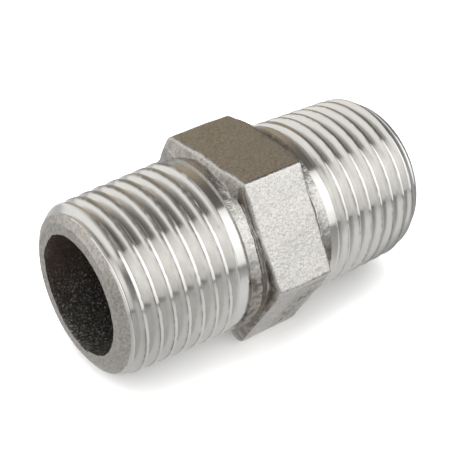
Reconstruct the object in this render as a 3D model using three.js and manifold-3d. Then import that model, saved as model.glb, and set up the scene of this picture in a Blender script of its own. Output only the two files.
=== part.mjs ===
// A 1/2 inch hex nipple: one stainless casting with a hexagon in the middle, a through-bore and an
// external taper pipe thread on each end. The casting is split at planes square to the bore into the
// zones it is worked in: the as-cast hexagon and necks, the turned relief bands and the cut threads.
// Millimetres. The bore lies along X with the front end at -X, and Z is square to two hexagon flats.
// The origin is on the bore's axis, at the middle of the hexagon.
import * as THREE from "three";
import { mergeVertices } from "three/addons/utils/BufferGeometryUtils.js";
import Module from "manifold-3d";

const wasm = await Module();
wasm.setup();

// Overall sizes.
const LENGTH = 43.8;
const HALF_LENGTH = LENGTH / 2;
const BORE_RADIUS = 7.23;

// The hexagon that a spanner grips. Its corners and edges are rounded, as a casting's are.
const HEX_ACROSS_FLATS = 22.94;
const HEX_WIDTH = 8.2;
const HEX_CORNER_RADIUS = 1.2;
const HEX_EDGE_ROUND = 0.35;

// The as-cast neck beside the hexagon: a fillet that falls from the foot to the neck.
const NECK_FOOT_RADIUS = 11.25;
const NECK_RADIUS = 10.85;
const NECK_END = 5.85;

// The turned relief band between the neck and the thread.
const BAND_RADIUS = 10.55;
const BAND_END = 7.15;
const THREAD_PLANE = 7;

// The taper thread: 14 threads per inch, 1 in 16 on the diameter, 60 degree form, right-hand.
const PITCH = 25.4 / 14;
const TAPER = 1 / 32;
const GAUGE_PLANE = HALF_LENGTH - 8.2;
const GAUGE_CREST_RADIUS = 10.58;
const FLANK = THREE.MathUtils.degToRad(30);
const CREST_FLAT = 0.36;
const ROOT_FLAT = 0.15;
const THREAD_DEPTH = (PITCH - CREST_FLAT - ROOT_FLAT) / (2 * Math.tan(FLANK));

// The tool leaves the groove where its middle reaches this plane, and is clear after the run-out turn.
const FULL_DEPTH_PLANE = 7.65;
const RUN_OUT_TURN = 0.28;
const RUN_OUT_LIFT = 1.5;

// Where the middle of each groove crosses the half-plane that runs from the bore's axis towards +Y,
// before the front end is turned round to face -X.
const FRONT_GROOVE_START = 7.76;
const REAR_GROOVE_START = 7.11;

// The end of the thread: a lead-in cone, then a steep cone down to the flat end face. The rear cone goes
// deeper, so that the thread fades out before it ends.
const LEAD_IN_START = 20.2;
const LEAD_IN_END = 21.25;
const FRONT_LEAD_IN_RADIUS = 9.85;
const REAR_LEAD_IN_RADIUS = 9;
const FACE_RADIUS = 8.58;

// How finely the round shapes are cut into facets.
const TURN_STEPS = 32;
const CORNER_STEPS = 4;

const machined = { color: 0xc9c8c4, roughness: 0.28, metalness: 1 };
const cast = { color: 0xa9a59d, roughness: 0.55, metalness: 1 };

// The radius of the thread's crests at a distance x from the middle of the nipple.
function crestRadius(x) {
  return GAUGE_CREST_RADIUS + (GAUGE_PLANE - x) * TAPER;
}

// A three.js geometry as a manifold-3d solid.
function solidOf(geometry) {
  geometry.deleteAttribute("normal");
  geometry.deleteAttribute("uv");
  const merged = mergeVertices(geometry, 1e-5);
  return new wasm.Manifold(
    new wasm.Mesh({
      numProp: 3,
      vertProperties: merged.attributes.position.array,
      triVerts: merged.index.array,
    }),
  );
}

// A manifold-3d solid as a three.js geometry.
function geometryOf(solid) {
  const { vertProperties, triVerts } = solid.getMesh();
  const geometry = new THREE.BufferGeometry();
  geometry.setAttribute("position", new THREE.BufferAttribute(vertProperties, 3));
  geometry.setIndex(new THREE.BufferAttribute(triVerts, 1));
  const faceted = geometry.toNonIndexed();
  faceted.computeVertexNormals();
  return faceted;
}

function meshOf(name, geometry, finish) {
  const mesh = new THREE.Mesh(geometry, new THREE.MeshStandardMaterial(finish));
  mesh.name = name;
  return mesh;
}

// A ring about the X axis. Its outline is a list of [x, radius] points that run away from the hexagon,
// and the bore closes it.
function ring(outline) {
  const first = outline[0][0];
  const last = outline[outline.length - 1][0];
  const loop = [[first, BORE_RADIUS], ...outline, [last, BORE_RADIUS], [first, BORE_RADIUS]];
  const points = loop.map(([x, radius]) => new THREE.Vector2(radius, x));
  return new THREE.LatheGeometry(points, TURN_STEPS).rotateZ(-Math.PI / 2);
}

// The hexagon's outline, with its flats at +Z and -Z and an arc at each corner.
function hexOutline(acrossFlats, cornerRadius) {
  const shape = new THREE.Shape();
  const centre = (acrossFlats / 2 - cornerRadius) / Math.cos(Math.PI / 6);
  for (let corner = 0; corner < 6; corner++) {
    const angle = (corner * Math.PI) / 3;
    const from = angle - Math.PI / 6;
    const to = angle + Math.PI / 6;
    shape.absarc(centre * Math.cos(angle), centre * Math.sin(angle), cornerRadius, from, to);
  }
  shape.closePath();
  return shape;
}

function hexCollar() {
  const outline = hexOutline(HEX_ACROSS_FLATS - 2 * HEX_EDGE_ROUND, HEX_CORNER_RADIUS);
  const blank = new THREE.ExtrudeGeometry(outline, {
    depth: HEX_WIDTH - 2 * HEX_EDGE_ROUND,
    curveSegments: CORNER_STEPS,
    bevelSize: HEX_EDGE_ROUND,
    bevelThickness: HEX_EDGE_ROUND,
    bevelSegments: 2,
  });
  blank.translate(0, 0, HEX_EDGE_ROUND - HEX_WIDTH / 2);
  blank.applyMatrix4(new THREE.Matrix4().makeBasis(axisY, axisZ, axisX));
  const bore = new THREE.CylinderGeometry(BORE_RADIUS, BORE_RADIUS, 2 * HEX_WIDTH, TURN_STEPS);
  bore.rotateZ(-Math.PI / 2);
  return geometryOf(solidOf(blank).subtract(solidOf(bore)));
}

// The neck's fillet is a quarter of an ellipse from the hexagon's face to the turned band.
function neck() {
  const foot = HEX_WIDTH / 2;
  const outline = [];
  const steps = 5;
  for (let i = 0; i <= steps; i++) {
    const angle = (i / steps) * (Math.PI / 2);
    const x = NECK_END - (NECK_END - foot) * Math.cos(angle);
    const radius = NECK_FOOT_RADIUS - (NECK_FOOT_RADIUS - NECK_RADIUS) * Math.sin(angle);
    outline.push([x, radius]);
  }
  return ring(outline);
}

function reliefBand() {
  return ring([
    [NECK_END, BAND_RADIUS],
    [THREAD_PLANE, BAND_RADIUS],
  ]);
}

// The path of the groove along the crests: a right-hand tapered helix, lifted clear over its run-out.
class GroovePath extends THREE.Curve {
  constructor(start, firstTurn, lastTurn) {
    super();
    this.start = start;
    this.firstTurn = firstTurn;
    this.lastTurn = lastTurn;
  }

  turnAt(t) {
    return this.firstTurn + (this.lastTurn - this.firstTurn) * t;
  }

  getPoint(t) {
    const turn = this.turnAt(t);
    const x = this.start + PITCH * turn;
    const early = Math.max(0, (FULL_DEPTH_PLANE - x) / (PITCH * RUN_OUT_TURN));
    const radius = crestRadius(x) + RUN_OUT_LIFT * early;
    const angle = 2 * Math.PI * turn;
    return new THREE.Vector3(x, radius * Math.cos(angle), radius * Math.sin(angle));
  }

  getPointAt(t) {
    return this.getPoint(t);
  }

  // The section stays in the plane through the nipple's axis: its x is radial and its y is axial.
  computeFrenetFrames(steps) {
    const frames = { tangents: [], normals: [], binormals: [] };
    for (let i = 0; i <= steps; i++) {
      const angle = 2 * Math.PI * this.turnAt(i / steps);
      const radial = new THREE.Vector3(0, Math.cos(angle), Math.sin(angle));
      const binormal = axisX.clone().negate();
      frames.normals.push(radial);
      frames.binormals.push(binormal);
      frames.tangents.push(radial.clone().cross(binormal));
    }
    return frames;
  }
}

// The V-groove's section about a point on the crests. It stands clear of the crests with upright sides.
function grooveSection() {
  const clear = 0.5;
  const halfMouth = (PITCH - CREST_FLAT) / 2;
  return new THREE.Shape([
    new THREE.Vector2(-THREAD_DEPTH, -ROOT_FLAT / 2),
    new THREE.Vector2(0, -halfMouth),
    new THREE.Vector2(clear, -halfMouth),
    new THREE.Vector2(clear, halfMouth),
    new THREE.Vector2(0, halfMouth),
    new THREE.Vector2(-THREAD_DEPTH, ROOT_FLAT / 2),
  ]);
}

// The steps of the groove fall on the corners of the blank's facets, so the first and last are whole.
function thread(grooveStart, leadInRadius) {
  const wholeStep = (x) => Math.round(((x - grooveStart) / PITCH) * TURN_STEPS);
  const first = wholeStep(FULL_DEPTH_PLANE - PITCH * RUN_OUT_TURN);
  const last = wholeStep(HALF_LENGTH + PITCH / 2);
  const path = new GroovePath(grooveStart, first / TURN_STEPS, last / TURN_STEPS);
  const groove = new THREE.ExtrudeGeometry(grooveSection(), {
    steps: last - first,
    extrudePath: path,
  });
  const shoulder = BAND_END + (crestRadius(BAND_END) - BAND_RADIUS) * Math.tan(FLANK);
  const blank = ring([
    [THREAD_PLANE, BAND_RADIUS],
    [BAND_END, BAND_RADIUS],
    [shoulder, crestRadius(shoulder)],
    [LEAD_IN_START, crestRadius(LEAD_IN_START)],
    [LEAD_IN_END, leadInRadius],
    [HALF_LENGTH, FACE_RADIUS],
  ]);
  return geometryOf(solidOf(blank).subtract(solidOf(groove)));
}

// Everything beyond one side of the hexagon, built towards +X.
function threadedEnd(side, grooveStart, leadInRadius) {
  const end = new THREE.Group();
  end.add(meshOf(side + "_cast_neck", neck(), cast));
  end.add(meshOf(side + "_relief_band", reliefBand(), machined));
  end.add(meshOf(side + "_thread", thread(grooveStart, leadInRadius), machined));
  return end;
}

const axisX = new THREE.Vector3(1, 0, 0);
const axisY = new THREE.Vector3(0, 1, 0);
const axisZ = new THREE.Vector3(0, 0, 1);

const group = new THREE.Group();
group.add(meshOf("hex_collar", hexCollar(), cast));
const frontEnd = threadedEnd("front", FRONT_GROOVE_START, FRONT_LEAD_IN_RADIUS);
frontEnd.rotation.z = Math.PI;
group.add(frontEnd);
group.add(threadedEnd("rear", REAR_GROOVE_START, REAR_LEAD_IN_RADIUS));

export default group;
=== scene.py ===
"""The looks of the hex nipple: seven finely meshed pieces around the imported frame, each in its zone.

Lengths are in millimetres until a mesh is made. The bore lies along X, the front end is at -X, and a
turn of `angle` about the bore starts at -Y and goes towards +Z.
"""
import math

import bpy
import numpy as np
from mathutils import Matrix, Vector


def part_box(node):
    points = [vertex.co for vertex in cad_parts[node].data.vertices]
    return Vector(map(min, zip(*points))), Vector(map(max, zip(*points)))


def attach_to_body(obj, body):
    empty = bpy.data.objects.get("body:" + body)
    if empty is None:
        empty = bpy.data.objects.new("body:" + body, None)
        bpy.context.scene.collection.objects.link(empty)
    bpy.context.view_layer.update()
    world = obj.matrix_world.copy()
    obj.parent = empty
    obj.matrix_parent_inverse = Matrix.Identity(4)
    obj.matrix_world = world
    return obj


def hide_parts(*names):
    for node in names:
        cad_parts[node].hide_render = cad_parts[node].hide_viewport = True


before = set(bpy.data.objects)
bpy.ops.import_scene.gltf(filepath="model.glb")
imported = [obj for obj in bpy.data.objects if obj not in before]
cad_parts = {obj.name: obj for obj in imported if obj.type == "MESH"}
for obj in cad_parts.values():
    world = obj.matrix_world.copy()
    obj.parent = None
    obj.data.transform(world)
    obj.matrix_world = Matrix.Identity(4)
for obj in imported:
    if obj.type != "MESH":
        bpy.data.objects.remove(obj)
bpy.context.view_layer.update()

MM = 0.001

# Places that come from the frame.
HALF_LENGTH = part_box("rear_thread")[1].x / MM
THREAD_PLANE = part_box("rear_thread")[0].x / MM
NECK_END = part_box("rear_cast_neck")[1].x / MM
NECK_FOOT_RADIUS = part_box("rear_cast_neck")[1].z / MM
BAND_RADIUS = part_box("rear_relief_band")[1].z / MM
HEX_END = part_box("hex_collar")[1].x / MM
HALF_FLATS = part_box("hex_collar")[1].z / MM

# The rest of the shape, as in part.mjs.
BORE_RADIUS = 7.23
HEX_CORNER_RADIUS = 1.2
SHARP_CORNER_RADIUS = 0.4
NECK_RADIUS = 10.85
BAND_END = 7.15
PITCH = 25.4 / 14
TAPER = 1 / 32
GAUGE_PLANE = HALF_LENGTH - 8.2
GAUGE_CREST_RADIUS = 10.58
CREST_FLAT = 0.36
HALF_MOUTH = (PITCH - CREST_FLAT) / 2
SHOULDER_SLOPE = 1 / math.tan(math.radians(30))
FULL_DEPTH_PLANE = 7.65
RUN_OUT_TURN = 0.28
RUN_OUT_LIFT = 1.5
GROOVE_START = {"front": 7.76, "rear": 7.11}
STEEP_SIDE = {"front": 1, "rear": -1}
LEAD_IN_START = 20.2
LEAD_IN_END = 21.25
FACE_RADIUS = 8.58

# The groove as it was really cut: a sharp root, a steep flank that faces +X and a worn one opposite.
WORN_WIDTH = 0.845
WORN_FOOT_SLOPE = 1.68
WORN_TOP_SLOPE = 1.05
THREAD_DEPTH = WORN_WIDTH * (WORN_TOP_SLOPE + (WORN_FOOT_SLOPE - WORN_TOP_SLOPE) / 3)
ROOT_SHIFT = WORN_WIDTH - HALF_MOUTH
LEAD_IN_RADIUS = {"front": 9.74, "rear": 9.0}
REAR_WEAR = 0.24
FACED_FROM = 21.22

# How finely the surfaces are meshed.
THREAD_COLUMNS = 310
CAST_COLUMNS = 660


# ---------------------------------------------------------------- numbers for rough surfaces

def lattice_value(ix, iy, iz, seed):
    """A fixed random value from -1 to 1 for each corner of a cubic lattice."""
    h = ix * 73856093 ^ iy * 19349663 ^ iz * 83492791 ^ seed * 2654435761
    h &= 0xFFFFFFFF
    h = (h ^ (h >> 15)) * 2246822519 & 0xFFFFFFFF
    h = (h ^ (h >> 13)) * 3266489917 & 0xFFFFFFFF
    h ^= h >> 16
    return h / 2147483647.5 - 1


def noise(points, size, seed):
    """Smooth noise from -1 to 1 at points[..., 3], with bumps about `size` across."""
    p = points / size
    corner = np.floor(p).astype(np.int64)
    t = p - corner
    t = t * t * t * (t * (6 * t - 15) + 10)
    total = 0
    for dx in (0, 1):
        for dy in (0, 1):
            for dz in (0, 1):
                weight = (t[..., 0] if dx else 1 - t[..., 0])
                weight = weight * (t[..., 1] if dy else 1 - t[..., 1])
                weight = weight * (t[..., 2] if dz else 1 - t[..., 2])
                value = lattice_value(
                    corner[..., 0] + dx, corner[..., 1] + dy, corner[..., 2] + dz, seed
                )
                total = total + weight * value
    return total


def place(x, radius, angle):
    """Points in the row frame from a place along the bore, a radius and an angle."""
    x, radius, angle = np.broadcast_arrays(x, radius, angle)
    return np.stack([x, -radius * np.cos(angle), radius * np.sin(angle)], -1)


def smooth_min(a, b, width):
    """The lower of two values, rounded over `width` where they cross."""
    return (a + b - np.sqrt((a - b) ** 2 + width**2)) / 2


def smooth_max(a, b, width):
    return -smooth_min(-a, -b, width)


# ---------------------------------------------------------------- shapes

def crest_radius(x):
    return GAUGE_CREST_RADIUS + (GAUGE_PLANE - x) * TAPER


def ease(value, low, high):
    """0 below `low`, 1 above `high` and smooth between them."""
    t = np.clip((value - low) / (high - low), 0, 1)
    return t * t * (3 - 2 * t)


def between(value, low, high, soft):
    """1 from `low` to `high` and 0 outside, with smooth sides `soft` wide."""
    return ease(value, low - soft, low) * (1 - ease(value, high, high + soft))


def root_shift(x):
    """How far the groove's root lies to its steep side. The turn beside the end face isn't worn."""
    return ROOT_SHIFT * (1 - ease(x, 18.8, 19.8))


def groove_height(x, aside):
    """The groove's height over its root. `aside` is across its mouth, positive on the steep side."""
    shift = root_shift(x)
    wear = shift / ROOT_SHIFT
    from_root = aside - shift
    steep = THREAD_DEPTH * from_root / (HALF_MOUTH - shift)
    share = np.maximum(0, -from_root) / (HALF_MOUTH + shift)
    bend = (WORN_FOOT_SLOPE - WORN_TOP_SLOPE) / 3 * (1 - np.maximum(0, 1 - share) ** 3)
    worn = WORN_WIDTH * (WORN_TOP_SLOPE * share + bend)
    straight = THREAD_DEPTH * share
    return np.where(from_root > 0, steep, straight + (worn - straight) * wear)


def burr(x, turn, aside):
    """Torn metal that stands up here and there along the edge of a crest."""
    p = place(x, 10.4, 2 * math.pi * turn)
    torn = np.maximum(0, noise(p, 0.5, 11) - 0.2) + 0.5 * np.maximum(0, noise(p, 2.4, 12))
    return 0.035 * torn * np.exp(-(((aside - HALF_MOUTH - 0.045) / 0.035) ** 2))


def thread_radius(x, turn, end):
    """The threaded end's radius at x outwards from the hexagon and a turn about the bore."""
    phase = (x - GROOVE_START[end]) / PITCH - turn
    off_centre = phase - np.round(phase)
    centre = x - off_centre * PITCH
    lift = RUN_OUT_LIFT * np.maximum(0, (FULL_DEPTH_PLANE - centre) / (PITCH * RUN_OUT_TURN))
    aside = off_centre * PITCH * STEEP_SIDE[end]
    groove = crest_radius(centre) + lift - THREAD_DEPTH + groove_height(x, aside)
    lead_in = LEAD_IN_RADIUS[end]
    lead_in_slope = (crest_radius(LEAD_IN_START) - lead_in) / (LEAD_IN_END - LEAD_IN_START)
    face_slope = (lead_in - FACE_RADIUS) / (HALF_LENGTH - LEAD_IN_END)
    blank = smooth_min(crest_radius(x), lead_in + (LEAD_IN_END - x) * lead_in_slope, 0.08)
    blank = smooth_min(blank, FACE_RADIUS + (HALF_LENGTH - x) * face_slope, 0.12)
    shoulder = BAND_RADIUS + (x - BAND_END) * SHOULDER_SLOPE
    blank = smooth_min(blank, smooth_max(np.full_like(x, BAND_RADIUS), shoulder, 0.04), 0.05)
    below = 1 - ease(180 - turn * 360, 26, 50)
    rear_edge = REAR_WEAR * (0.25 + 0.75 * below) * (end == "rear")
    worn_edge = 0.006 + 0.03 * between(-aside, 0.3, 0.8, 0.1) + rear_edge
    full = np.clip((x - BAND_END - 0.5) / 0.4, 0, 1) * np.clip((LEAD_IN_START - x) / 0.4, 0, 1)
    return smooth_min(blank, groove, worn_edge) + full * burr(x, turn, aside)


def thread_marks_and_shade(x, turn, end):
    """Dark marks, broken here and there, along the edges of the crests, and painted shade that makes them darker
    and wider over the top of the front thread.
    """
    phase = (x - GROOVE_START[end]) / PITCH - turn
    aside = (phase - np.round(phase)) * PITCH * STEEP_SIDE[end]
    p = place(x, 10.4, 2 * math.pi * turn)
    # Painted shade: over the top of the front thread the marks on the crests' worn edges are darker and wider.
    painted_shade = between(turn * 360, 58, 112, 14) * (end == "front")
    worn = 0.5 + 0.7 * painted_shade + 0.45 * noise(p, 0.5, 16) + 0.3 * noise(p, 2.0, 17)
    torn = 1.6 * np.maximum(0, noise(p, 0.45, 18) - 0.25)
    worn_side = worn * np.exp(-(((aside + HALF_MOUTH - 0.02) / (0.05 + 0.05 * painted_shade)) ** 2))
    torn_side = torn * np.exp(-(((aside - HALF_MOUTH + 0.02) / 0.06) ** 2))
    return np.clip(worn_side + torn_side, 0, 1) * ease(LEAD_IN_START - x, -0.2, 0.2) * ease(x, BAND_END, 7.6)


def hex_radius(degrees):
    """The hexagon's outline, with an arc at each corner. The corners at 0 and 60 degrees are sharper."""
    off_flat = np.radians(np.abs(degrees % 60 - 30))
    off_corner = math.radians(30) - off_flat
    round_off = np.where(np.abs(degrees - 30) < 60, SHARP_CORNER_RADIUS, HEX_CORNER_RADIUS)
    centre = (HALF_FLATS - round_off) / math.cos(math.radians(30))
    under = np.maximum(0, round_off**2 - (centre * np.sin(off_corner)) ** 2)
    corner = centre * np.cos(off_corner) + np.sqrt(under)
    tangent = np.arctan(centre / 2 / HALF_FLATS)
    return np.where(off_flat < tangent, HALF_FLATS / np.cos(off_flat), corner)


def neck_radius(reach):
    """The neck's fillet, a quarter of an ellipse, at a distance `reach` from the nipple's middle."""
    share = np.clip((NECK_END - reach) / (NECK_END - HEX_END), 0, 1)
    return NECK_RADIUS + (NECK_FOOT_RADIUS - NECK_RADIUS) * (1 - np.sqrt(1 - share**2))


def hex_edge(x, degrees):
    """How far from the middle the hexagon's end face lies. The casting is uneven at its parting."""
    front = 0.3 * between(degrees, 80, 100, 16) + 0.85 * between(degrees, 116, 124, 22)
    front = front - 0.5 * (1 - ease(degrees, -10, 40)) * ease(degrees, -55, -10)
    rear = 0.5 * between(degrees, 70, 104, 12) - 0.4 * np.exp(-(((degrees - 121) / 6) ** 2))
    wobble = 0.07 * noise(place(3 * np.sign(x), np.full_like(x, 12.0), np.radians(degrees)), 1.1, 6)
    return HEX_END - 0.12 + np.where(x < 0, front, rear) + wobble


def folds(x, degrees):
    """How deep the fine folds at the foot of the hexagon's sides are, from 0 to 1. They fan out below."""
    p = place(x, np.full_like(x, 11.0), np.radians(degrees))
    past = np.abs(x) - hex_edge(x, degrees) + 0.08 * noise(p * (0.2, 1, 1), 1.3, 7)
    fan = past / (0.45 + 0.5 * (1 - ease(degrees, 0, 56)))
    front = 0.4 * between(fan, 0.15, 0.85, 0.2)
    for at, depth in ((0.18, 0.6), (0.5, 0.5), (0.85, 0.45)):
        front = front + depth * np.exp(-(((fan - at) / 0.085) ** 2))
    rear = np.exp(-(((past - 0.2) / 0.1) ** 2))
    along = between(degrees, -36, 56, 8) * (1 + 0.35 * noise(p, 0.5, 8))
    return np.where(x < 0, front, rear) * along


def pits(x, degrees):
    """A few rusty pits on the lower side of the hexagon, and a rough patch beside it."""
    p = place(x, np.full_like(x, 11.5), np.radians(degrees))
    middle = 1.0 + 2.4 * ease(degrees, -34, -13)
    row = between(degrees, -50, -14, 4) * np.exp(-(((x - middle) / 0.85) ** 2))
    patch = between(degrees, -40, 8, 8) * between(np.abs(x), 4.0, 5.8, 0.3)
    holes = np.maximum(0, noise(p, 0.42, 9) + 0.4 * noise(p, 1.2, 19))
    return 0.3 * holes * row + 0.14 * np.maximum(0, noise(p, 0.6, 10)) * patch


def to_degrees(angle):
    """An angle in radians as degrees from -180 to 180."""
    return (np.degrees(angle) + 180) % 360 - 180


def casting_radius(x, angle):
    """The as-cast surface from neck to neck: the hexagon drops to each neck over a rough shoulder."""
    reach = np.abs(x)
    degrees = to_degrees(angle)
    past = reach - hex_edge(x, degrees)
    steepness = 3.0 + 3.5 * between(degrees, -25, 50, 12)
    steepness = steepness - 2.0 * between(degrees, 120, 155, 14) * (x < 0)
    round_off = 0.1 + 0.06 * between(degrees, 62, 118, 6) * (x < 0)
    lip = 0.4 * between(degrees, 62, 118, 6) * (x < 0)
    gentle = (past + np.sqrt(past**2 + round_off**2)) / 2
    steep = (past - lip + np.sqrt((past - lip) ** 2 + round_off**2)) / 2
    fall = gentle + steep * (steepness - 1)
    p = place(x, np.full_like(x, 11.5), angle)
    grain = 0.014 * noise(p, 0.5, 1) + 0.010 * noise(p, 0.3, 2) + 0.04 * noise(p, 3.0, 3)
    side = hex_radius(degrees) - fall
    neck = neck_radius(np.maximum(reach, HEX_END)) + 0.03 * noise(p, 0.7, 13)
    return smooth_max(side, neck, 0.15) + grain - 0.24 * folds(x, degrees) - pits(x, degrees)


def casting_scale(x, angle):
    """Where the casting is made darker, from 0 to 1: dark scale in its furrows, folds and pits, and all over its
    lower front side.
    """
    degrees = to_degrees(angle)
    past = np.abs(x) - hex_edge(x, degrees)
    p = place(x, np.full_like(x, 11.5), angle)
    speckle = 0.5 + 0.5 * noise(p, 0.35, 15)
    wall = 0.5 * between(past, 0.25, 0.9, 0.15) * between(degrees, 57, 150, 10)
    # Darker over the lower front side: the foot of each neck, the hexagon's shoulder and its flat there.
    foot = 0.75 * between(np.abs(x), 4.1, 5.75, 0.3) * between(degrees, -36, 5, 8)
    shoulder = 0.75 * between(past, 0.0, 1.1, 0.2) * between(degrees, -60, -8, 6)
    foot = np.maximum(foot, shoulder)
    side = (0.25 + 0.35 * between(x, 0.4, 3.4, 1.2)) * between(degrees, -56, -4, 2) * (past < 0)
    holes = np.clip(pits(x, degrees) * 6, 0, 1)
    return np.clip(folds(x, degrees) + (wall + foot + side) * (0.4 + speckle) + holes, 0, 1)


def bore_radius(x, angle):
    p = place(x, np.full_like(x, BORE_RADIUS), angle)
    degrees = np.degrees(angle) % 360
    chips = ease(x, HALF_LENGTH - 0.7, HALF_LENGTH) * between(degrees, 120, 290, 20)
    rough = 0.05 * noise(p, 2.2, 4) + 0.05 * noise(p, 0.8, 5)
    return BORE_RADIUS + rough + 0.45 * chips * np.maximum(0, noise(p * (0.1, 1, 1), 0.9, 14))


# ---------------------------------------------------------------- meshes

def make_piece(name, points, faces, face_slots, sharp_rows, rows, materials, scale=None):
    """A closed mesh object from points in millimetres. Edges along the sharp rows stay crisp."""
    mesh = bpy.data.meshes.new(name)
    mesh.from_pydata((points * MM).tolist(), [], faces)
    mesh.update(calc_edges=True)
    corners = np.array([points[f[0]] for f in faces])
    second = np.array([points[f[1]] for f in faces])
    third = np.array([points[f[2]] for f in faces])
    if np.einsum("ij,ij->", corners, np.cross(second, third)) < 0:
        mesh.flip_normals()
    mesh.polygons.foreach_set("use_smooth", [True] * len(mesh.polygons))
    mesh.polygons.foreach_set("material_index", face_slots)
    ends = np.zeros(len(mesh.edges) * 2, np.int32)
    mesh.edges.foreach_get("vertices", ends)
    row_a, row_b = rows[ends[0::2]], rows[ends[1::2]]
    mesh.edges.foreach_set("use_edge_sharp", (row_a == row_b) & np.isin(row_a, sharp_rows))
    # The scale attribute holds dark scale, grime and painted shade.
    if scale is not None:
        mesh.attributes.new("scale", "FLOAT", "POINT").data.foreach_set("value", scale)
    for material in materials:
        mesh.materials.append(material)
    piece = bpy.data.objects.new(name, mesh)
    bpy.context.scene.collection.objects.link(piece)
    return piece


def ring_faces(row_indices, slots):
    """Faces between each row of vertices and the next. Each row goes once round the bore."""
    faces, face_slots = [], []
    for (first, second), slot in zip(zip(row_indices[:-1], row_indices[1:]), slots):
        for c in range(len(first)):
            n = (c + 1) % len(first)
            faces.append((int(first[c]), int(first[n]), int(second[n]), int(second[c])))
            face_slots.append(slot)
    return faces, face_slots


def ring_piece(name, x_from, x_to, steps, outline, materials, columns=CAST_COLUMNS):
    """A ring between two planes. Its outside is outline(x, angle), and its inside is the bore."""
    angle = np.arange(columns) / columns * 2 * math.pi
    outer = [(x, outline(np.full(columns, x), angle)) for x in steps]
    inner_x = np.linspace(x_to, x_from, max(4, round(abs(x_to - x_from) / 0.5)) + 1)
    inner = [(x, bore_radius(np.full(columns, x), angle)) for x in inner_x]
    sections = outer + inner
    points = np.concatenate([place(x, r, angle) for x, r in sections])
    rows = np.repeat(np.arange(len(sections)), columns)
    indices = [np.arange(columns) + i * columns for i in range(len(sections))]
    slots = [0] * len(outer) + [1] * (len(inner) - 1) + [0]
    faces, face_slots = ring_faces(indices + indices[:1], slots)
    sharp = [0, len(outer) - 1, len(outer), len(sections) - 1]
    scale = np.concatenate([casting_scale(np.full(columns, x), angle) for x, _ in sections])
    return make_piece(name, points, faces, face_slots, sharp, rows, materials, scale)


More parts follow.
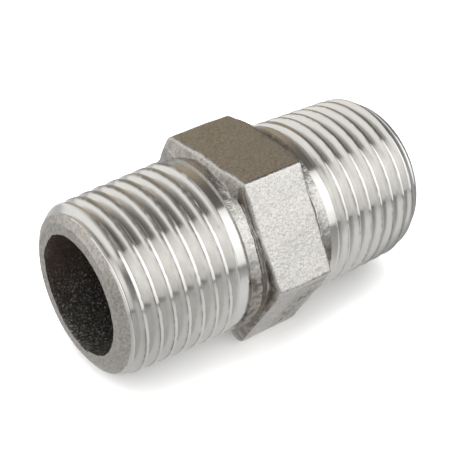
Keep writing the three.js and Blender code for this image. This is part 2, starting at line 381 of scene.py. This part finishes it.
def thread_piece(name, end, materials):
    """A threaded end. Its outer rows follow the helix, so that the crests stay clean."""
    start = GROOVE_START[end]
    steep_side = STEEP_SIDE[end]
    columns = THREAD_COLUMNS
    turn = np.arange(columns) / columns
    # Places across the groove's mouth, closest together at the edges of the crests.
    rim = CREST_FLAT / 2 * np.array([-0.2, -0.04, -0.01, 0.015, 0.05, 0.18, 0.36, 0.55])
    root = steep_side * ROOT_SHIFT
    low_flank = np.linspace(-HALF_MOUTH + 0.08, root - 0.02, 6)
    high_flank = np.linspace(root + 0.02, HALF_MOUTH - 0.08, 6)
    flanks = np.concatenate([low_flank, [root], high_flank])
    across = np.sort(np.concatenate([[-PITCH / 2], HALF_MOUTH + rim, -HALF_MOUTH - rim, flanks]))
    to_edge = np.where(across > root, HALF_MOUTH - root, HALF_MOUTH + root)
    follow = np.maximum(0, 1 - np.abs(across - root) / to_edge)
    across = across / PITCH
    first = math.floor((THREAD_PLANE - start) / PITCH) - 2
    last = math.ceil((HALF_LENGTH - start) / PITCH) + 1
    steps = np.concatenate([across + k for k in range(first, last + 1)])
    per_pitch = len(across)
    x = start + PITCH * (turn[:, None] + steps[None, :])
    x = x - (root - steep_side * root_shift(x)) * np.tile(follow, len(steps) // per_pitch)
    inside = (x > THREAD_PLANE + 1e-6) & (x < HALF_LENGTH - 1e-6)
    low = np.arange(columns)
    high = low + columns
    index = np.where(x <= THREAD_PLANE + 1e-6, low[:, None], high[:, None])
    index[inside] = np.arange(inside.sum()) + 2 * columns
    ring_turn = np.concatenate([turn, turn])
    ring_x = np.concatenate([np.full(columns, THREAD_PLANE), np.full(columns, HALF_LENGTH)])
    all_turn = np.concatenate([ring_turn, np.broadcast_to(turn[:, None], x.shape)[inside]])
    all_x = np.concatenate([ring_x, x[inside]])
    radius = thread_radius(all_x, all_turn, end)
    rows = np.concatenate([np.zeros(columns), np.ones(columns), np.full(inside.sum(), 2)]).astype(int)
    faces, face_slots = [], []
    after_seam = np.concatenate([index[0, per_pitch:], np.full(per_pitch, high[0])])
    for c in range(columns):
        here = index[c]
        there = index[c + 1] if c + 1 < columns else after_seam
        for r in range(len(steps) - 1):
            loop = (here[r], here[r + 1], there[r + 1], there[r])
            corners = []
            for v in loop:
                if v not in corners:
                    corners.append(int(v))
            if len(corners) > 2:
                faces.append(tuple(corners))
                face_slots.append(2 if x[c, r] > FACED_FROM else 0)
    # The flat end face, the bore and the plane where the relief band begins.
    face_steps = np.linspace(0, 1, 7)[1:]
    mouth = bore_radius(np.full(columns, HALF_LENGTH), 2 * math.pi * turn)
    rim = radius[columns : 2 * columns]
    sections = [(HALF_LENGTH, rim + (mouth - rim) * s) for s in face_steps]
    bore_x = np.linspace(HALF_LENGTH, THREAD_PLANE, 31)[1:]
    sections += [(bx, bore_radius(np.full(columns, bx), 2 * math.pi * turn)) for bx in bore_x]
    base = len(all_x)
    extra_rows = [np.arange(columns) + base + i * columns for i in range(len(sections))]
    slots = [2] * len(face_steps) + [1] * len(bore_x) + [0]
    more, more_slots = ring_faces([high] + extra_rows + [low], slots)
    all_x = np.concatenate([all_x] + [np.full(columns, s[0]) for s in sections])
    radius = np.concatenate([radius] + [s[1] for s in sections])
    all_turn = np.concatenate([all_turn, np.tile(turn, len(sections))])
    rows = np.concatenate([rows, np.repeat(np.arange(len(sections)) + 3, columns)])
    if end == "front":
        points = place(-all_x, radius, 2 * math.pi * all_turn)
    else:
        points = place(all_x, radius, math.pi - 2 * math.pi * all_turn)
        more = [tuple(reversed(f)) for f in more]
        faces = [tuple(reversed(f)) for f in faces]
    sharp = [0, 2 + len(face_steps), 2 + len(sections)]
    faces = [tuple(reversed(f)) for f in faces] + more
    # The dark crest marks and their painted shade go into the mesh's scale attribute.
    scale = thread_marks_and_shade(all_x, all_turn, end) * (rows == 2)
    return make_piece(name, points, faces, face_slots + more_slots, sharp, rows, materials, scale)


# ---------------------------------------------------------------- materials

def new_material(name):
    material = bpy.data.materials.new(name)
    material.use_nodes = True
    nodes = material.node_tree.nodes
    nodes.clear()
    output = nodes.new("ShaderNodeOutputMaterial")
    shader = nodes.new("ShaderNodeBsdfPrincipled")
    material.node_tree.links.new(shader.outputs["BSDF"], output.inputs["Surface"])
    return material, nodes, material.node_tree.links, shader


def millimetres(nodes, links):
    """Object coordinates, counted in millimetres."""
    coordinates = nodes.new("ShaderNodeTexCoord")
    scale = nodes.new("ShaderNodeVectorMath")
    scale.operation = "SCALE"
    scale.inputs["Scale"].default_value = 1 / MM
    links.new(coordinates.outputs["Object"], scale.inputs[0])
    return scale.outputs["Vector"]


def noise_node(nodes, links, vector, size, detail=2.0, roughness=0.5):
    node = nodes.new("ShaderNodeTexNoise")
    node.inputs["Scale"].default_value = 1 / size
    node.inputs["Detail"].default_value = detail
    node.inputs["Roughness"].default_value = roughness
    links.new(vector, node.inputs["Vector"])
    return node.outputs["Fac"]


def ramp_node(nodes, links, value, stops):
    node = nodes.new("ShaderNodeValToRGB")
    elements = node.color_ramp.elements
    while len(elements) < len(stops):
        elements.new(0.5)
    for element, (at, color) in zip(elements, stops):
        element.position = at
        element.color = (*color, 1)
    links.new(value, node.inputs["Fac"])
    return node.outputs["Color"]


def range_node(nodes, links, value, low, high, to_low, to_high):
    node = nodes.new("ShaderNodeMapRange")
    node.inputs["From Min"].default_value = low
    node.inputs["From Max"].default_value = high
    node.inputs["To Min"].default_value = to_low
    node.inputs["To Max"].default_value = to_high
    links.new(value, node.inputs["Value"])
    return node.outputs["Result"]


def mix_colors(nodes, links, factor, first, second):
    node = nodes.new("ShaderNodeMix")
    node.data_type = "RGBA"
    links.new(factor, node.inputs["Factor"])
    for socket, value in ((node.inputs[6], first), (node.inputs[7], second)):
        if isinstance(value, tuple):
            socket.default_value = (*value, 1)
        else:
            links.new(value, socket)
    return node.outputs[2]


def bump_node(nodes, links, height, distance, strength=1.0, after=None):
    node = nodes.new("ShaderNodeBump")
    node.inputs["Distance"].default_value = distance * MM
    node.inputs["Strength"].default_value = strength
    links.new(height, node.inputs["Height"])
    if after is not None:
        links.new(after, node.inputs["Normal"])
    return node.outputs["Normal"]


def lathe_vector(nodes, links, vector):
    """Coordinates that change fast along the bore and the radius and slowly round it."""
    split = nodes.new("ShaderNodeSeparateXYZ")
    links.new(vector, split.inputs[0])
    flat = nodes.new("ShaderNodeCombineXYZ")
    links.new(split.outputs["Y"], flat.inputs["Y"])
    links.new(split.outputs["Z"], flat.inputs["Z"])
    length = nodes.new("ShaderNodeVectorMath")
    length.operation = "LENGTH"
    links.new(flat.outputs["Vector"], length.inputs[0])
    slow = nodes.new("ShaderNodeMath")
    slow.operation = "MULTIPLY"
    slow.inputs[1].default_value = 0.02
    links.new(split.outputs["Y"], slow.inputs[0])
    joined = nodes.new("ShaderNodeCombineXYZ")
    links.new(split.outputs["X"], joined.inputs["X"])
    links.new(length.outputs["Value"], joined.inputs["Y"])
    links.new(slow.outputs["Value"], joined.inputs["Z"])
    return joined.outputs["Vector"]


ROTATION = 0.25


def scale_and_shade_value(nodes):
    """How much dark scale, grime and painted shade a mesh carries at each point."""
    node = nodes.new("ShaderNodeAttribute")
    node.attribute_name = "scale"
    return node.outputs["Fac"]


def machined_steel():
    """Turned stainless steel: bright, slightly warm, with fine tool lines round the bore."""
    material, nodes, links, shader = new_material("machined_steel")
    vector = millimetres(nodes, links)
    lathe = lathe_vector(nodes, links, vector)
    lines = noise_node(nodes, links, lathe, 0.11, 3.0, 0.6)
    smears = noise_node(nodes, links, vector, 1.6, 3.0)
    color = ramp_node(nodes, links, smears, [(0.3, (0.63, 0.62, 0.60)), (0.7, (0.66, 0.65, 0.63))])
    # Dark crest marks and painted shade: the steel darkens towards this colour where the scale attribute is high.
    color = mix_colors(nodes, links, scale_and_shade_value(nodes), color, (0.16, 0.15, 0.135))
    links.new(color, shader.inputs["Base Color"])
    roughness = range_node(nodes, links, lines, 0.3, 0.7, 0.16, 0.21)
    links.new(roughness, shader.inputs["Roughness"])
    shader.inputs["Metallic"].default_value = 1
    tangent = nodes.new("ShaderNodeTangent")
    tangent.direction_type = "RADIAL"
    tangent.axis = "X"
    links.new(tangent.outputs["Tangent"], shader.inputs["Tangent"])
    shader.inputs["Anisotropic"].default_value = 0.85
    shader.inputs["Anisotropic Rotation"].default_value = ROTATION
    links.new(bump_node(nodes, links, lines, 0.005), shader.inputs["Normal"])
    return material


def grainy_steel(name, dark, light, size, depth, roughness, scale_color):
    """Steel with a sandy grain `size` across, darker in its hollows, under whatever scale is left."""
    material, nodes, links, shader = new_material(name)
    vector = millimetres(nodes, links)
    grain = noise_node(nodes, links, vector, size, 2.0, 0.6)
    blotches = noise_node(nodes, links, vector, 1.5, 2.0)
    color = ramp_node(nodes, links, grain, [(0.3, dark), (0.62, light)])
    color = mix_colors(nodes, links, scale_and_shade_value(nodes), color, scale_color)
    links.new(color, shader.inputs["Base Color"])
    rough = range_node(nodes, links, blotches, 0.3, 0.7, roughness - 0.04, roughness + 0.04)
    links.new(rough, shader.inputs["Roughness"])
    shader.inputs["Metallic"].default_value = 1
    links.new(bump_node(nodes, links, grain, depth), shader.inputs["Normal"])
    return material


def cast_steel():
    """As-cast stainless steel after pickling."""
    return grainy_steel(
        "cast_steel", (0.36, 0.345, 0.325), (0.54, 0.53, 0.51), 0.24, 0.04, 0.29, (0.17, 0.15, 0.125)
    )


def faced_steel():
    """The sawn and rubbed end of the nipple: beige and matt."""
    return grainy_steel(
        "faced_steel", (0.33, 0.31, 0.28), (0.54, 0.52, 0.485), 0.35, 0.035, 0.42, (0.10, 0.085, 0.07)
    )


def bore_scale_and_painted_light():
    """The inside of the bore: dark, rough and left as it was cast, with painted shade darkening its upper half and
    painted light and glints brightening its lower half.
    """
    material, nodes, links, shader = new_material("bore_scale_and_painted_light")
    vector = millimetres(nodes, links)
    grain = noise_node(nodes, links, vector, 0.26, 3.0, 0.65)
    upper = ramp_node(nodes, links, grain, [(0.36, (0.075, 0.05, 0.042)), (0.66, (0.16, 0.125, 0.11))])
    # Painted light: the lower half is lighter, with bright specks as painted glints; the upper half stays darker
    # as painted shade.
    lower = ramp_node(nodes, links, grain, [
        (0.36, (0.05, 0.045, 0.04)), (0.56, (0.13, 0.125, 0.115)), (0.66, (0.7, 0.68, 0.64)),
    ])
    split = nodes.new("ShaderNodeSeparateXYZ")
    links.new(vector, split.inputs[0])
    low = range_node(nodes, links, split.outputs["Z"], 0.0, -5.5, 0, 1)
    color = mix_colors(nodes, links, low, upper, lower)
    links.new(color, shader.inputs["Base Color"])
    links.new(range_node(nodes, links, grain, 0.3, 0.7, 0.6, 0.36), shader.inputs["Roughness"])
    shader.inputs["Metallic"].default_value = 0.6
    links.new(bump_node(nodes, links, grain, 0.08, 0.8), shader.inputs["Normal"])
    return material


def floor_white(name, fill, tones):
    """Matt paper. `fill` is light that reaches it from everywhere, even under the nipple.

    `tones` are its tones along X, as places in millimetres and grey values."""
    material, nodes, links, shader = new_material(name)
    split = nodes.new("ShaderNodeSeparateXYZ")
    links.new(millimetres(nodes, links), split.inputs[0])
    low, high = tones[0][0], tones[-1][0]
    across = range_node(nodes, links, split.outputs["X"], low, high, 0, 1)
    stops = [((x - low) / (high - low), (tone,) * 3) for x, tone in tones]
    color = ramp_node(nodes, links, across, stops)
    links.new(color, shader.inputs["Base Color"])
    shader.inputs["Roughness"].default_value = 0.9
    shader.inputs["Specular IOR Level"].default_value = 0.0
    links.new(color, shader.inputs["Emission Color"])
    shader.inputs["Emission Strength"].default_value = fill
    return material


def panel_glow():
    """A softbox's face: brightest a little above its middle and dimmer towards its top and foot."""
    material = bpy.data.materials.new("panel_glow")
    material.use_nodes = True
    nodes, links = material.node_tree.nodes, material.node_tree.links
    nodes.clear()
    output = nodes.new("ShaderNodeOutputMaterial")
    glow = nodes.new("ShaderNodeEmission")
    split = nodes.new("ShaderNodeSeparateXYZ")
    links.new(millimetres(nodes, links), split.inputs[0])
    height = range_node(nodes, links, split.outputs["Z"], -11.5, KEY_TOP, 0, 1)
    color = ramp_node(nodes, links, height, [
        (0.0, (0.3,) * 3), (0.012, (0.3,) * 3), (0.022, (1.25,) * 3), (0.075, (1.35,) * 3),
        (0.14, (1.6,) * 3), (0.28, (2.0,) * 3), (0.53, (1.6,) * 3), (0.87, (1.25,) * 3), (1.0, (1.1,) * 3),
    ])
    links.new(color, glow.inputs["Color"])
    links.new(glow.outputs["Emission"], output.inputs["Surface"])
    return material


# ---------------------------------------------------------------- the pieces

MACHINED = machined_steel()
CAST = cast_steel()
FACED = faced_steel()
BORE = bore_scale_and_painted_light()


def attach(piece, node):
    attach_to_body(piece, "root")
    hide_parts(node)
    return piece


def cast_steps(low, high):
    """Rows along the bore, close together at the ends of the hexagon."""
    steps = [low]
    while steps[-1] < high - 1e-6:
        near = abs(abs(steps[-1] + 0.02) - (HEX_END + 0.1))
        steps.append(min(high, steps[-1] + (0.04 if near < 1.1 else 0.1)))
    return steps


def build_pieces():
    hexagon = ring_piece("hexagon", -HEX_END, HEX_END, cast_steps(-HEX_END, HEX_END), casting_radius, [CAST, BORE])
    pieces = [attach(hexagon, "hex_collar")]
    for end, side in (("front", -1), ("rear", 1)):
        low, high = sorted((side * HEX_END, side * NECK_END))
        neck = ring_piece(end + "_neck", low, high, cast_steps(low, high), casting_radius, [CAST, BORE])
        pieces.append(attach(neck, end + "_cast_neck"))
        low, high = sorted((side * NECK_END, side * THREAD_PLANE))
        steps = np.linspace(low, high, 9)
        band = ring_piece(
            end + "_band", low, high, steps, lambda x, a: np.full_like(x, BAND_RADIUS), [MACHINED, BORE],
            THREAD_COLUMNS,
        )
        pieces.append(attach(band, end + "_relief_band"))
        threads = thread_piece(end + "_threads", end, [MACHINED, BORE, FACED])
        pieces.append(attach(threads, end + "_thread"))
    return pieces


# ---------------------------------------------------------------- floor, light and camera

KEY_PLANE = -121.0
KEY_TOP = 365.0
FLOOR_EDGES = (-75.0, KEY_PLANE, 300.0, 300.0)
PAPER_TONES = ((-150, 0.86), (150, 0.86))
# Painted shade: the floor seen only in reflections darkens towards -X from under the front thread and towards +X
# from under the rear thread.
MIRRORED_SHADE_TONES = ((-31, 0.56), (-9, 0.86), (12, 0.86), (17, 0.48), (40, 0.4))


def stage_quad(name, corners, material):
    """A flat rectangle of the studio, from corners in millimetres."""
    mesh = bpy.data.meshes.new(name)
    mesh.from_pydata([tuple(v * MM for v in corner) for corner in corners], [], [(0, 1, 2, 3)])
    mesh.materials.append(material)
    quad = bpy.data.objects.new(name, mesh)
    bpy.context.scene.collection.objects.link(quad)
    return quad


def floor_quad(name, edges, z, material):
    left, front, right, back = edges
    corners = [(left, front, z), (right, front, z), (right, back, z), (left, back, z)]
    return stage_quad(name, corners, material)


def build_floors():
    """The floor that the camera sees, and a dimmer one just over it that only reflections see, whose tones along X
    are painted shade.
    """
    seen = floor_quad("floor", FLOOR_EDGES, -HALF_FLATS, floor_white("floor_white", 0.02, PAPER_TONES))
    seen.visible_glossy = False
    paper = floor_white("floor_mirrored", 0.55, MIRRORED_SHADE_TONES)
    mirrored = floor_quad("floor_mirrored", FLOOR_EDGES, 0.02 - HALF_FLATS, paper)
    mirrored.visible_camera = False
    mirrored.visible_diffuse = False
    mirrored.visible_shadow = False
    return seen, mirrored


def only_for(item, objects, name):
    """The light falls only on these objects."""
    lit = bpy.data.collections.new(name)
    for o in objects:
        lit.objects.link(o)
    item.light_linking.receiver_collection = lit


def sun_on(name, receiver, strength, spread, direction):
    """A soft sun that lights one thing only. `direction` points from the floor to the sun."""
    light = bpy.data.lights.new(name, "SUN")
    light.energy = strength
    light.angle = math.radians(spread)
    item = bpy.data.objects.new(name, light)
    bpy.context.scene.collection.objects.link(item)
    item.rotation_euler = Vector(direction).to_track_quat("Z", "Y").to_euler()
    only_for(item, [receiver], "lit_by_" + name)


def build_light(nipple):
    seen, mirrored = build_floors()
    sun_on("sky", seen, 8.6, 119, (0.0, -0.43, 1))
    sun_on("sky_mirrored", mirrored, 1.35, 110, (0.1, -0.3, 1))
    left, right, foot = -30, 450, -HALF_FLATS
    corners = [(left, KEY_PLANE, foot), (left, KEY_PLANE, KEY_TOP), (right, KEY_PLANE, KEY_TOP), (right, KEY_PLANE, foot)]
    key = stage_quad("key_softbox", corners, panel_glow())
    key.visible_camera = False
    key.visible_shadow = False
    only_for(key, nipple, "lit_by_key")


def smooth_step(nodes, links, value, low, high):
    """0 below `low`, 1 above `high` and smooth between them. `low` may be the greater."""
    node = nodes.new("ShaderNodeMapRange")
    node.interpolation_type = "SMOOTHSTEP"
    node.inputs["From Min"].default_value = low
    node.inputs["From Max"].default_value = high
    links.new(value, node.inputs["Value"])
    return node.outputs["Result"]


def math_node(nodes, links, operation, first, second):
    node = nodes.new("ShaderNodeMath")
    node.operation = operation
    links.new(first, node.inputs[0])
    links.new(second, node.inputs[1])
    return node.outputs["Value"]


def build_world():
    """A room that is bright on the left and dim and brownish on the right. The camera sees it white."""
    world = bpy.data.worlds.new("studio")
    bpy.context.scene.world = world
    world.use_nodes = True
    nodes, links = world.node_tree.nodes, world.node_tree.links
    nodes.clear()
    output = nodes.new("ShaderNodeOutputWorld")
    seen = nodes.new("ShaderNodeBackground")
    seen.inputs["Color"].default_value = (1, 1, 1, 1)
    room = nodes.new("ShaderNodeBackground")
    mix = nodes.new("ShaderNodeMixShader")
    path = nodes.new("ShaderNodeLightPath")
    geometry = nodes.new("ShaderNodeTexCoord")
    split = nodes.new("ShaderNodeSeparateXYZ")
    links.new(geometry.outputs["Generated"], split.inputs[0])
    east, north, up = split.outputs["X"], split.outputs["Y"], split.outputs["Z"]
    right_side = ramp_node(nodes, links, up, [
        (0.0, (0.42, 0.385, 0.32)), (0.2, (0.44, 0.385, 0.29)), (0.44, (0.50, 0.42, 0.31)),
        (0.63, (0.44, 0.365, 0.275)), (0.77, (0.29, 0.25, 0.19)), (0.86, (0.11, 0.105, 0.098)),
    ])
    back_bright = smooth_step(nodes, links, north, 0.03, 0.2)
    high_bright = smooth_step(nodes, links, up, 0.03, 0.2)
    near_bright = smooth_step(nodes, links, north, -0.2, -0.31)
    bright = math_node(nodes, links, "MAXIMUM", back_bright, high_bright)
    bright = math_node(nodes, links, "MAXIMUM", bright, near_bright)
    near_side = smooth_step(nodes, links, north, -0.5, -0.85)
    low_side = smooth_step(nodes, links, up, 0.0, -0.2)
    near_side = math_node(nodes, links, "MAXIMUM", near_side, low_side)
    left_bright = mix_colors(nodes, links, near_side, (1.15, 1.14, 1.12), (0.67, 0.66, 0.64))
    left_side = mix_colors(nodes, links, bright, (0.12, 0.118, 0.115), left_bright)
    far_right = smooth_step(nodes, links, east, 0.56, 0.72)
    right_side = mix_colors(nodes, links, far_right, right_side, (0.13, 0.125, 0.115))
    leftward = smooth_step(nodes, links, east, 0.24, 0.04)
    color = mix_colors(nodes, links, leftward, right_side, left_side)
    lit = mix_colors(nodes, links, path.outputs["Is Diffuse Ray"], color, (0.25, 0.25, 0.25))
    links.new(lit, room.inputs["Color"])
    links.new(path.outputs["Is Camera Ray"], mix.inputs["Fac"])
    links.new(room.outputs["Background"], mix.inputs[1])
    links.new(seen.outputs["Background"], mix.inputs[2])
    links.new(mix.outputs["Shader"], output.inputs["Surface"])


def build_camera():
    azimuth, elevation, roll = (math.radians(v) for v in (-37.361, 35.842, 0.915))
    distance = 162.438
    target = Vector((4.95, 7.714, -6.725))
    back = Vector((
        math.sin(azimuth) * math.cos(elevation),
        -math.cos(azimuth) * math.cos(elevation),
        math.sin(elevation),
    ))
    right = Vector((0, 0, 1)).cross(back).normalized()
    up = back.cross(right)
    rolled_right = right * math.cos(roll) + up * math.sin(roll)
    rolled_up = up * math.cos(roll) - right * math.sin(roll)
    data = bpy.data.cameras.new("camera")
    data.lens = 99.19
    data.sensor_width = 36
    data.clip_start = 0.01
    data.clip_end = 50
    camera = bpy.data.objects.new("camera", data)
    bpy.context.scene.collection.objects.link(camera)
    axes = Matrix((rolled_right, rolled_up, back)).transposed()
    camera.matrix_world = Matrix.Translation((target + back * distance) * MM) @ axes.to_4x4()
    bpy.context.scene.camera = camera


nipple = build_pieces()
build_light(nipple)
build_world()
build_camera()
bpy.context.scene.view_settings.view_transform = "Standard"
